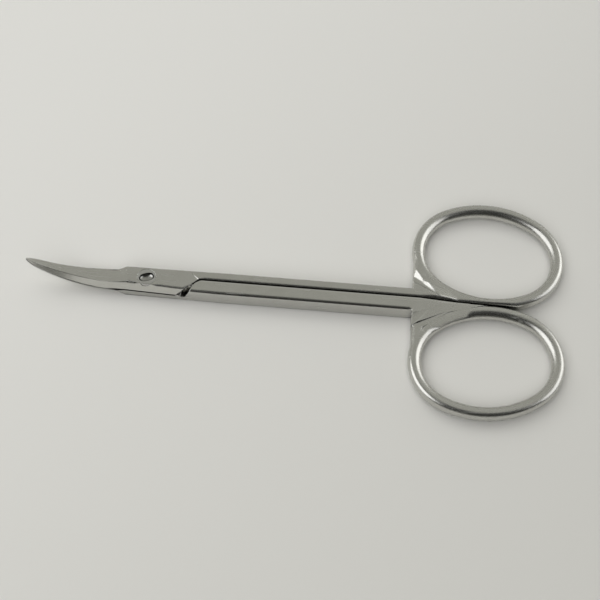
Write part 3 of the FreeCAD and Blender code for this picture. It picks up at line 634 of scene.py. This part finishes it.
@dataclass(frozen=True)
class TableCard:
    """Smooth matt card under the scissors: a pale warm grey, with painted shade making it a little darker
    towards the near ring.
    """

    name: str = "matt_card"
    colour: str = "#ebeae6"
    # Painted shade: the card fades to this towards the near ring
    painted_shade_colour: str = "#d5d4cf"
    roughness: float = 0.9
    fade_start: tuple[float, float] = (-40.0, 60.0)
    fade_end: tuple[float, float] = (95.0, -60.0)
    grain_size: float = 0.6
    grain_detail: float = 2.0
    grain_share: float = 0.03

    def material(self) -> bpy.types.Material:
        """Build the card's material.

        Returns:
            The material, whose painted shade fades in from beyond the blades to the near ring.
        """
        material, tree, shader = blank_material(self.name)
        place = millimetres(tree)
        start, end = Vector(self.fade_start), Vector(self.fade_end)
        run = (end - start).normalized()
        along = add_node(tree, "ShaderNodeVectorMath", {0: place}, {1: (run.x, run.y, 0.0)},
                         operation="DOT_PRODUCT")
        fade = add_node(tree, "ShaderNodeMapRange", {"Value": along.outputs["Value"]},
                        {"From Min": start.dot(run), "From Max": end.dot(run)},
                        interpolation_type="SMOOTHSTEP")
        grain = add_node(tree, "ShaderNodeTexNoise", {"Vector": place},
                         {"Scale": 1 / self.grain_size, "Detail": self.grain_detail})
        mixed = add_node(tree, "ShaderNodeMath", {0: grain.outputs["Fac"], 2: fade.outputs["Result"]},
                         {1: self.grain_share}, operation="MULTIPLY_ADD")
        # Painted shade across the card
        colour = add_node(tree, "ShaderNodeMix", {0: mixed.outputs[0]},
                          {COLOUR_A: linear(self.colour), COLOUR_B: linear(self.painted_shade_colour)},
                          data_type="RGBA")
        tree.links.new(colour.outputs[COLOUR_OUT], shader.inputs["Base Color"])
        shader.inputs["Roughness"].default_value = self.roughness
        return material


@dataclass
class ForgedHalf:
    """One forged half, from blade tip to finger ring, which the frame's own solid shows."""

    node: bpy.types.Object
    side: Side
    body: Body

    def dress(self) -> bpy.types.Object:
        """Give the half its buffed steel.

        Returns:
            The half.
        """
        steel = BuffedStainless("buffed_stainless_steel_" + self.side.name.lower(), self.side)
        self.node.data.materials.clear()
        self.node.data.materials.append(steel.material())
        LOG.info("%s: dressed in %s, on body %s", self.node.name, steel.name, self.body.value)
        return self.node


@dataclass
class PivotScrew:
    """The countersunk screw, turned to a profile and slotted by a disc; in millimetres and degrees."""

    node: str = "pivot_screw"
    name: str = "turned_screw"
    top: float = 3.4
    head_radius: float = 1.5
    head_rim: float = 0.35
    head_cone: float = 0.5
    shank_radius: float = 0.95
    end_chamfer: float = 0.15
    slot_nose: float = 0.8
    slot_cutter: float = 1.81
    slot_depth: float = 0.55
    slot_angle: float = 19.0
    # The head's near side is ground down with the lap's bevelled wall
    bevel_place: float = 1.306
    bevel_tilt: float = 67.0
    bevel_turn: float = -2.8
    edge_round: float = 0.015
    edge_steps: int = 2
    edge_angle: float = 35.0
    sharp_angle: float = 28.0
    weld: float = 0.001
    segments: int = 96
    # The tree's inputs by name, once it is grown
    sockets: dict[str, Socket] = field(default_factory=dict)

    def profile(self) -> list[tuple[float, float]]:
        """List the turned profile's corners, from the foot to the middle of the face.

        Returns:
            Each corner's radius and height.
        """
        rim = self.top - self.head_rim
        return [
            (0.0, 0.0),
            (self.shank_radius - self.end_chamfer, 0.0),
            (self.shank_radius, self.end_chamfer),
            (self.shank_radius, rim - self.head_cone),
            (self.head_radius, rim),
            (self.head_radius, self.top),
            (0.0, self.top),
        ]

    def grow(self) -> Tree:
        """Build the Geometry Nodes tree that turns and slots the screw.

        Returns:
            The tree, with one named input for each size.
        """
        tree = bpy.data.node_groups.new(self.name, "GeometryNodeTree")
        tree.interface.new_socket("Geometry", in_out="OUTPUT", socket_type="NodeSocketGeometry")
        self.add_inputs(tree)
        given = add_node(tree, "NodeGroupInput")
        self.sockets = {socket.name: socket for socket in given.outputs if socket.name}
        blank = self.turned_blank(tree)
        disc = self.slot_disc(tree)
        slotted = add_node(tree, "GeometryNodeMeshBoolean", {"Mesh 1": blank, "Mesh 2": disc},
                           operation="DIFFERENCE", solver="EXACT")
        ground = add_node(tree, "GeometryNodeMeshBoolean",
                          {"Mesh 1": slotted.outputs["Mesh"], "Mesh 2": self.ground_block(tree)},
                          operation="DIFFERENCE", solver="EXACT")
        real = add_node(tree, "GeometryNodeRealizeInstances", {"Geometry": ground.outputs["Mesh"]})
        finished = add_node(tree, "GeometryNodeSetMaterial",
                            {"Geometry": real.outputs["Geometry"], "Material": self.sockets["Finish"]})
        add_node(tree, "NodeGroupOutput", {"Geometry": finished.outputs["Geometry"]})
        return tree

    def sizes(self) -> dict[str, float]:
        """List the tree's inputs by name.

        Returns:
            Each input's value, in millimetres or radians.
        """
        listed = {}
        for number, (radius, height) in enumerate(self.profile(), start=1):
            listed["Radius %d" % number] = radius
            listed["Height %d" % number] = height
        listed["Slot Nose"] = self.slot_nose
        listed["Slot Path"] = self.slot_cutter - self.slot_nose
        listed["Slot Height"] = self.top + self.slot_cutter - self.slot_depth
        listed["Slot Turn"] = math.radians(self.slot_angle)
        listed["Bevel Place"] = -self.bevel_place
        listed["Bevel Tilt"] = math.radians(self.bevel_tilt)
        listed["Bevel Turn"] = math.radians(self.bevel_turn)
        listed["Face Height"] = self.top
        listed["Block Size"] = 2 * self.top
        return listed

    def add_inputs(self, tree: Tree) -> None:
        """Add the tree's named inputs.

        Args:
            tree: the tree that gets them.
        """
        for name, value in self.sizes().items():
            socket = tree.interface.new_socket(name, in_out="INPUT", socket_type="NodeSocketFloat")
            socket.default_value = value
        socket = tree.interface.new_socket("Segments", in_out="INPUT", socket_type="NodeSocketInt")
        socket.default_value = self.segments
        tree.interface.new_socket("Finish", in_out="INPUT", socket_type="NodeSocketMaterial")

    def turned_blank(self, tree: Tree) -> Socket:
        """Wrap a grid round the axis, one row of it at each corner of the profile.

        Args:
            tree: the tree that the nodes go in.

        Returns:
            The blank's mesh.
        """
        rows = len(self.profile())
        span = 1.0
        grid = add_node(tree, "GeometryNodeMeshGrid", {"Vertices X": self.sockets["Segments"]},
                        {"Size X": span, "Size Y": span, "Vertices Y": rows})
        place = add_node(tree, "GeometryNodeInputPosition")
        split = add_node(tree, "ShaderNodeSeparateXYZ", {0: place.outputs[0]})
        turn = add_node(tree, "ShaderNodeMath", {0: split.outputs["X"]}, {1: math.tau},
                        operation="MULTIPLY")
        row = add_node(tree, "ShaderNodeMapRange", {"Value": split.outputs["Y"]},
                       {"From Min": -span / 2, "From Max": span / 2, "To Max": rows - 1.0})
        number = add_node(tree, "FunctionNodeFloatToInt", {0: row.outputs["Result"]},
                          rounding_mode="ROUND").outputs[0]
        radius = self.pick(tree, number, "Radius")
        height = self.pick(tree, number, "Height")
        cosine = add_node(tree, "ShaderNodeMath", {0: turn.outputs[0]}, operation="COSINE")
        sine = add_node(tree, "ShaderNodeMath", {0: turn.outputs[0]}, operation="SINE")
        x = add_node(tree, "ShaderNodeMath", {0: cosine.outputs[0], 1: radius}, operation="MULTIPLY")
        y = add_node(tree, "ShaderNodeMath", {0: sine.outputs[0], 1: radius}, operation="MULTIPLY")
        point = add_node(tree, "ShaderNodeCombineXYZ", {"X": x.outputs[0], "Y": y.outputs[0], "Z": height})
        wrapped = add_node(tree, "GeometryNodeSetPosition",
                           {"Geometry": grid.outputs["Mesh"], "Position": point.outputs[0]})
        closed = add_node(tree, "GeometryNodeMergeByDistance", {"Geometry": wrapped.outputs["Geometry"]},
                          {"Distance": self.weld})
        return closed.outputs["Geometry"]

    def pick(self, tree: Tree, number: Socket, word: str) -> Socket:
        """Pick one of the profile's radii or heights by its row.

        Args:
            tree: the tree that the nodes go in.
            number: the row, from 0.
            word: what the inputs are called, before their number.

        Returns:
            The socket with the row's value.
        """
        rows = len(self.profile())
        switch = tree.nodes.new("GeometryNodeIndexSwitch")
        switch.data_type = "FLOAT"
        while len(switch.index_switch_items) < rows:
            switch.index_switch_items.new()
        tree.links.new(number, switch.inputs["Index"])
        for row in range(rows):
            tree.links.new(self.sockets["%s %d" % (word, row + 1)], switch.inputs[row + 1])
        return switch.outputs[0]

    def slot_disc(self, tree: Tree) -> Socket:
        """Build the round-nosed disc that cuts the slot, standing over the head.

        Args:
            tree: the tree that the nodes go in.

        Returns:
            The disc's mesh.
        """
        count = self.sockets["Segments"]
        path = add_node(tree, "GeometryNodeCurvePrimitiveCircle",
                        {"Radius": self.sockets["Slot Path"], "Resolution": count})
        nose = add_node(tree, "GeometryNodeCurvePrimitiveCircle",
                        {"Radius": self.sockets["Slot Nose"], "Resolution": count})
        disc = add_node(tree, "GeometryNodeCurveToMesh",
                        {"Curve": path.outputs["Curve"], "Profile Curve": nose.outputs["Curve"]})
        stood = add_node(tree, "GeometryNodeTransform", {"Geometry": disc.outputs["Mesh"]},
                         {"Rotation": (QUARTER_TURN, 0.0, 0.0)})
        turn = add_node(tree, "ShaderNodeCombineXYZ", {"Z": self.sockets["Slot Turn"]})
        lift = add_node(tree, "ShaderNodeCombineXYZ", {"Z": self.sockets["Slot Height"]})
        placed = add_node(tree, "GeometryNodeTransform",
                          {"Geometry": stood.outputs["Geometry"], "Rotation": turn.outputs[0],
                           "Translation": lift.outputs[0]})
        return placed.outputs["Geometry"]

    def ground_block(self, tree: Tree) -> Socket:
        """Build the block that grinds the head's near side; its lower face is the lap's bevelled wall.

        Args:
            tree: the tree that the nodes go in.

        Returns:
            The block's mesh.
        """
        size = self.sockets["Block Size"]
        edges = add_node(tree, "ShaderNodeCombineXYZ", {"X": size, "Y": size, "Z": size})
        block = add_node(tree, "GeometryNodeMeshCube", {"Size": edges.outputs[0]})
        half = add_node(tree, "ShaderNodeMath", {0: size}, {1: 0.5}, operation="MULTIPLY")
        rise = add_node(tree, "ShaderNodeCombineXYZ", {"Z": half.outputs[0]})
        raised = add_node(tree, "GeometryNodeTransform",
                          {"Geometry": block.outputs["Mesh"], "Translation": rise.outputs[0]})
        turn = add_node(tree, "ShaderNodeCombineXYZ",
                        {"X": self.sockets["Bevel Tilt"], "Z": self.sockets["Bevel Turn"]})
        move = add_node(tree, "ShaderNodeCombineXYZ",
                        {"Y": self.sockets["Bevel Place"], "Z": self.sockets["Face Height"]})
        placed = add_node(tree, "GeometryNodeTransform",
                          {"Geometry": raised.outputs["Geometry"], "Rotation": turn.outputs[0],
                           "Translation": move.outputs[0]})
        return placed.outputs["Geometry"]

    def build(self, body: Body) -> bpy.types.Object:
        """Make the screw, round its edges and dress it.

        Args:
            body: the body that the screw is tight in.

        Returns:
            The finished screw, which stands for its solid.
        """
        tree = self.grow()
        holder = bpy.data.objects.new("screw_holder", bpy.data.meshes.new("screw_holder"))
        bpy.context.scene.collection.objects.link(holder)
        finish = TurnedStainless(face_height=self.top).material()
        modifier = holder.modifiers.new(self.name, "NODES")
        modifier.node_group = tree
        identifiers = {item.name: item.identifier for item in tree.interface.items_tree
                       if item.in_out == "INPUT"}
        modifier[identifiers["Finish"]] = finish
        for name, value in self.sizes().items():
            modifier[identifiers[name]] = value
        edges = holder.modifiers.new("rounded_edges", "BEVEL")
        edges.width = self.edge_round
        edges.segments = self.edge_steps
        edges.limit_method = "ANGLE"
        edges.angle_limit = math.radians(self.edge_angle)
        screw = self.plain_mesh(holder)
        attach(screw, body.value)
        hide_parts(self.node)
        LOG.info("%s: turned, slotted and finished, on body %s", screw.name, body.value)
        return screw

    def plain_mesh(self, holder: bpy.types.Object) -> bpy.types.Object:
        """Turn the evaluated screw into a plain mesh in metres.

        Args:
            holder: the object whose modifiers make the screw; it is removed.

        Returns:
            The screw.
        """
        graph = bpy.context.evaluated_depsgraph_get()
        mesh = bpy.data.meshes.new_from_object(holder.evaluated_get(graph))
        bpy.data.objects.remove(holder)
        mesh.name = self.name
        form = bmesh.new()
        form.from_mesh(mesh)
        bmesh.ops.scale(form, vec=(MM, MM, MM), verts=form.verts)
        bmesh.ops.recalc_face_normals(form, faces=form.faces)
        form.to_mesh(mesh)
        form.free()
        mesh.shade_smooth()
        mesh.set_sharp_from_angle(angle=math.radians(self.sharp_angle))
        screw = bpy.data.objects.new(self.name, mesh)
        bpy.context.scene.collection.objects.link(screw)
        return screw


@dataclass(frozen=True)
class Viewpoint:
    """Where the photograph was taken from, in millimetres and degrees."""

    target: tuple[float, float, float] = (25.47, -0.107, 0.0)
    azimuth: float = 2.148
    elevation: float = 60.215
    roll: float = 2.685
    distance: float = 233.2
    lens: float = 83.99
    sensor: float = 36.0

    def place(self) -> bpy.types.Object:
        """Add the camera and make it the scene's own.

        Returns:
            The camera.
        """
        turn, rise = math.radians(self.azimuth), math.radians(self.elevation)
        level = math.cos(rise)
        back = Vector((math.sin(turn) * level, -math.cos(turn) * level, math.sin(rise)))
        right = Vector((0, 0, 1)).cross(back).normalized()
        frame = Matrix((right, back.cross(right), back)).transposed().to_4x4()
        data = bpy.data.cameras.new("photo_camera")
        data.lens = self.lens
        data.sensor_width = self.sensor
        camera = bpy.data.objects.new("photo_camera", data)
        camera.matrix_world = (
            Matrix.Translation((Vector(self.target) + back * self.distance) * MM)
            @ frame @ Matrix.Rotation(math.radians(self.roll), 4, "Z"))
        bpy.context.scene.collection.objects.link(camera)
        bpy.context.scene.camera = camera
        return camera


@dataclass(frozen=True)
class Softbox:
    """A lamp behind white cloth, as seen from the scissors; angles in degrees, lengths in metres.

    Where it isn't mirrored, the steel doesn't show it; where it isn't scattered, it lights nothing matt.
    """

    name: str
    azimuth: float
    elevation: float
    width: float
    height: float
    distance: float
    radiance: float
    mirrored: bool = True
    scattered: bool = True
    colour: str = "#ffffff"

    def hang(self, target: Vector) -> bpy.types.Object:
        """Add the lamp, facing the target.

        Args:
            target: the point that it faces, in metres.

        Returns:
            The lamp.
        """
        turn, rise = math.radians(self.azimuth), math.radians(self.elevation)
        level = math.cos(rise)
        towards = Vector((math.sin(turn) * level, math.cos(turn) * level, math.sin(rise)))
        data = bpy.data.lights.new(self.name, "AREA")
        data.shape = "ELLIPSE"
        data.size = self.width
        data.size_y = self.height
        data.energy = self.radiance * math.pi * self.width * self.height
        data.color = linear(self.colour)[:3]
        lamp = bpy.data.objects.new(self.name, data)
        lamp.visible_glossy = self.mirrored
        lamp.visible_diffuse = self.scattered
        lamp.matrix_world = (
            Matrix.Translation(target + towards * self.distance)
            @ towards.to_track_quat("Z", "Y").to_matrix().to_4x4())
        bpy.context.scene.collection.objects.link(lamp)
        LOG.info("%s: hung at azimuth %.0f, elevation %.0f", self.name, self.azimuth, self.elevation)
        return lamp


@dataclass(frozen=True)
class Studio:
    """A dim room: a pale wall beyond, a softbox on each side and two bounces; lengths in metres."""

    target: tuple[float, float, float] = (0.025, 0.0, 0.0)
    left: Softbox = Softbox("left_softbox", azimuth=-100.0, elevation=38.0, width=0.7, height=0.8,
                            distance=0.6, radiance=1.3, scattered=False)
    right: Softbox = Softbox("right_softbox", azimuth=74.0, elevation=33.0, width=0.78, height=0.62,
                             distance=0.6, radiance=1.05, scattered=False)
    # Diffuse light from the ceiling and from the camera's side, too even for the steel to show
    ceiling: Softbox = Softbox("ceiling_bounce", azimuth=-50.0, elevation=62.0, width=1.0, height=1.0,
                               distance=0.8, radiance=0.9, mirrored=False)
    front: Softbox = Softbox("front_bounce", azimuth=-165.0, elevation=52.0, width=1.6, height=1.6,
                             distance=1.6, radiance=1.75, mirrored=False)
    room_colour: str = "#fffff5"
    # Strengths of the dark room, of the pale wall and of the band low down all round
    dark: float = 0.025
    wall: float = 0.45
    low: float = 0.2
    band_blend: float = 0.1
    # Directions between which they come in: how far one points beyond the table, and how far up
    wall_fade: tuple[float, float] = (0.02, 0.44)
    low_fade: tuple[float, float] = (0.42, 0.08)
    table_size: float = 3.0

    def light(self) -> None:
        """Hang the lamps and light the room."""
        for box in (self.left, self.right, self.ceiling, self.front):
            box.hang(Vector(self.target))
        world = bpy.data.worlds.new("studio")
        bpy.context.scene.world = world
        world.use_nodes = True
        tree = world.node_tree
        tree.nodes.clear()
        place = add_node(tree, "ShaderNodeTexCoord")
        split = add_node(tree, "ShaderNodeSeparateXYZ", {0: place.outputs["Generated"]})
        wall = add_node(tree, "ShaderNodeMapRange", {"Value": split.outputs["Y"]},
                        {"From Min": self.wall_fade[0], "From Max": self.wall_fade[1],
                         "To Min": self.dark, "To Max": self.wall}, interpolation_type="SMOOTHSTEP")
        low = add_node(tree, "ShaderNodeMapRange", {"Value": split.outputs["Z"]},
                       {"From Min": self.low_fade[0], "From Max": self.low_fade[1], "To Max": self.low},
                       interpolation_type="SMOOTHSTEP")
        brightest = add_node(tree, "ShaderNodeMath",
                             {0: wall.outputs["Result"], 1: low.outputs["Result"]}, {2: self.band_blend},
                             operation="SMOOTH_MAX")
        back = add_node(tree, "ShaderNodeBackground", {"Strength": brightest.outputs[0]},
                        {"Color": linear(self.room_colour)})
        add_node(tree, "ShaderNodeOutputWorld", {"Surface": back.outputs["Background"]})

    def lay_table(self) -> bpy.types.Object:
        """Lay the matt card that the scissors lie on.

        Returns:
            The table's top, which is stage and no part of the scissors.
        """
        half = self.table_size / 2
        mesh = bpy.data.meshes.new("table")
        corners = [(-half, -half, 0.0), (half, -half, 0.0), (half, half, 0.0), (-half, half, 0.0)]
        mesh.from_pydata(corners, [], [(0, 1, 2, 3)])
        table = bpy.data.objects.new("table", mesh)
        bpy.context.scene.collection.objects.link(table)
        table.data.materials.append(TableCard().material())
        return table


def main() -> None:
    """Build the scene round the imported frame."""
    logging.basicConfig(level=logging.INFO)
    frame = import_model()
    bpy.context.scene.view_settings.view_transform = "Standard"
    Viewpoint().place()
    studio = Studio()
    studio.light()
    studio.lay_table()
    ForgedHalf(frame["nodes"]["lower_half"], Side.LOWER, Body.LOWER).dress()
    ForgedHalf(frame["nodes"]["upper_half"], Side.UPPER, Body.UPPER).dress()
    PivotScrew().build(Body.LOWER)


if __name__ == "__main__":
    main()
